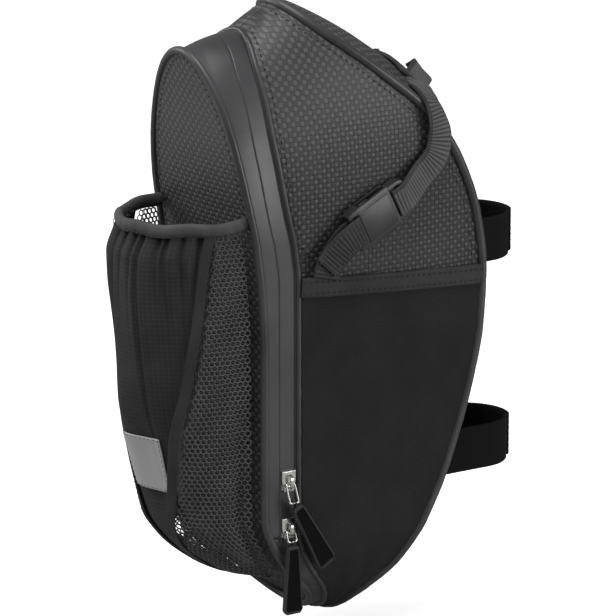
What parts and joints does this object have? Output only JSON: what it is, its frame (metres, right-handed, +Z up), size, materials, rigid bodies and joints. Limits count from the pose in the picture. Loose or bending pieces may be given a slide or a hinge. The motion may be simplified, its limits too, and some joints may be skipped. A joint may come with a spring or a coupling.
{
  "type": "bike saddle bag",
  "caption": "Upright saddle bag for a bicycle with a zipped lid, a bottle pocket with net sides, side pockets, buckled saddle rail straps and seatpost straps.",
  "frame": {"origin": "middle of the flat rubber pad that bears on the seatpost", "axes": "+Z up along the bag's height, +Y from the bag towards the seatpost, +X to the side that carries the zip sliders"},
  "size_m": [0.0986, 0.2227, 0.3025],
  "materials": {
    "carbon_leatherette": "embossed with a small carbon weave, satin",
    "smooth_leatherette": "smooth, satin",
    "piping_leatherette": "smooth over a cord, satin",
    "ripstop_cloth": "fine ripstop grid, matt",
    "pocket_cloth": "plain woven, matt",
    "net_cloth": "open knitted net",
    "binding_tape": "ribbed tape, matt",
    "webbing": "ribbed polypropylene webbing",
    "hook_and_loop": "brushed loop pile",
    "buckle_plastic": "moulded, satin",
    "pull_rubber": "moulded, matt",
    "slider_metal": "bright plated die casting",
    "zip_coil": "nylon monofilament",
    "foam_board": "plain",
    "reflective_tape": "reflective, light grey"
  },
  "bodies": {
    "body": {"bottom_gusset": "smooth_leatherette", "bottom_panel": "carbon_leatherette", "bottom_piping": "piping_leatherette", "buckle_socket_left": "buckle_plastic", "buckle_socket_right": "buckle_plastic", "front_board": "foam_board", "front_panel": "carbon_leatherette", "front_piping": "piping_leatherette", "hook_strap_lower_base": "hook_and_loop", "hook_strap_root_lower_left": "binding_tape", "hook_strap_root_lower_right": "binding_tape", "hook_strap_root_upper_left": "binding_tape", "hook_strap_root_upper_right": "binding_tape", "hook_strap_upper_base": "hook_and_loop", "rail_anchor_patch": "binding_tape", "rail_strap_arch_left": "webbing", "rail_strap_arch_right": "webbing", "rail_strap_lower_left": "webbing", "rail_strap_lower_right": "webbing", "rail_strap_slack_left": "webbing", "rail_strap_slack_right": "webbing", "seatpost_pad": "pull_rubber", "side_panel_left": "carbon_leatherette", "side_panel_right": "carbon_leatherette", "side_piping": "piping_leatherette", "side_pocket_binding_left": "binding_tape", "side_pocket_binding_right": "binding_tape", "side_pocket_left": "ripstop_cloth", "side_pocket_right": "ripstop_cloth", "zip_coil_body": "zip_coil", "zip_tape_body": "smooth_leatherette"},
    "lid": {"bottle_pocket_front": "pocket_cloth", "bottle_pocket_hem_left": "binding_tape", "bottle_pocket_hem_right": "binding_tape", "bottle_pocket_net_left": "net_cloth", "bottle_pocket_net_right": "net_cloth", "bottle_pocket_rim": "binding_tape", "lid_gusset": "smooth_leatherette", "rear_board": "foam_board", "rear_panel": "carbon_leatherette", "rear_piping": "piping_leatherette", "reflective_patch": "reflective_tape", "zip_coil_lid": "zip_coil", "zip_tape_lid": "smooth_leatherette"},
    "upper_slider": {"slider_upper": "slider_metal"},
    "upper_link": {"pull_link_upper": "slider_metal"},
    "upper_grip": {"pull_grip_upper": "pull_rubber"},
    "lower_slider": {"slider_lower": "slider_metal"},
    "lower_link": {"pull_link_lower": "slider_metal"},
    "lower_grip": {"pull_grip_lower": "pull_rubber"},
    "right_plug": {"buckle_plug_right": "buckle_plastic"},
    "right_prong_upper": {"buckle_prong_right_upper": "buckle_plastic"},
    "right_prong_lower": {"buckle_prong_right_lower": "buckle_plastic"},
    "left_plug": {"buckle_plug_left": "buckle_plastic"},
    "left_prong_upper": {"buckle_prong_left_upper": "buckle_plastic"},
    "left_prong_lower": {"buckle_prong_left_lower": "buckle_plastic"},
    "upper_flap": {"hook_strap_upper_flap": "hook_and_loop"},
    "lower_flap": {"hook_strap_lower_flap": "hook_and_loop"}
  },
  "joints": [
    {"name": "lid_hinge", "type": "hinge", "parent": "body", "child": "lid", "pos_m": [0, -0.10575, -0.12054], "axis": [1, 0, 0], "range_deg": [0, 58]},
    {"name": "slider_upper_slide", "type": "slide", "parent": "body", "child": "upper_slider", "axis": [0, 0, 1], "range_m": [0, 0.08]},
    {"name": "link_upper_swing", "type": "hinge", "parent": "upper_slider", "child": "upper_link", "pos_m": [0.04265, -0.11945, -0.0642], "axis": [0, -1, 0], "range_deg": [0, 150]},
    {"name": "grip_upper_swing", "type": "hinge", "parent": "upper_link", "child": "upper_grip", "pos_m": [0.04609, -0.11945, -0.07251], "axis": [1, 0, 0], "range_deg": [0, 22]},
    {"name": "slider_lower_slide", "type": "slide", "parent": "body", "child": "lower_slider", "axis": [0, 0, 1], "range_m": [0, 0.003]},
    {"name": "link_lower_swing", "type": "hinge", "parent": "lower_slider", "child": "lower_link", "pos_m": [0.04265, -0.11945, -0.0872], "axis": [0, -1, 0], "range_deg": [0, 90]},
    {"name": "grip_lower_swing", "type": "hinge", "parent": "lower_link", "child": "lower_grip", "pos_m": [0.04609, -0.11945, -0.09552], "axis": [1, 0, 0], "range_deg": [-30, 0]},
    {"name": "buckle_release_right", "type": "slide", "parent": "body", "child": "right_plug", "axis": [0, 0.891, 0.454], "range_m": [0, 0.02], "deforming": ["rail_strap_slack_right"]},
    {"name": "prong_right_upper_squeeze", "type": "hinge", "parent": "right_plug", "child": "right_prong_upper", "pos_m": [0.04605, -0.0676, 0.06895], "axis": [1, 0, 0], "range_deg": [0, 7], "stiffness_Nm_per_rad": 0.05},
    {"name": "prong_right_lower_squeeze", "type": "hinge", "parent": "right_plug", "child": "right_prong_lower", "pos_m": [0.04605, -0.06238, 0.05871], "axis": [-1, 0, 0], "range_deg": [0, 7], "stiffness_Nm_per_rad": 0.05},
    {"name": "buckle_release_left", "type": "slide", "parent": "body", "child": "left_plug", "axis": [0, 0.891, 0.454], "range_m": [0, 0.02], "deforming": ["rail_strap_slack_left"]},
    {"name": "prong_left_upper_squeeze", "type": "hinge", "parent": "left_plug", "child": "left_prong_upper", "pos_m": [-0.04605, -0.0676, 0.06895], "axis": [1, 0, 0], "range_deg": [0, 7], "stiffness_Nm_per_rad": 0.05},
    {"name": "prong_left_lower_squeeze", "type": "hinge", "parent": "left_plug", "child": "left_prong_lower", "pos_m": [-0.04605, -0.06238, 0.05871], "axis": [-1, 0, 0], "range_deg": [0, 7], "stiffness_Nm_per_rad": 0.05},
    {"name": "hook_flap_upper_open", "type": "hinge", "parent": "body", "child": "upper_flap", "pos_m": [-0.02396, -0.00186, 0.032], "axis": [0, 0, 1], "range_deg": [0, 90]},
    {"name": "hook_flap_lower_open", "type": "hinge", "parent": "body", "child": "lower_flap", "pos_m": [-0.02396, -0.01956, -0.071], "axis": [0, 0, 1], "range_deg": [0, 90]}
  ]
}
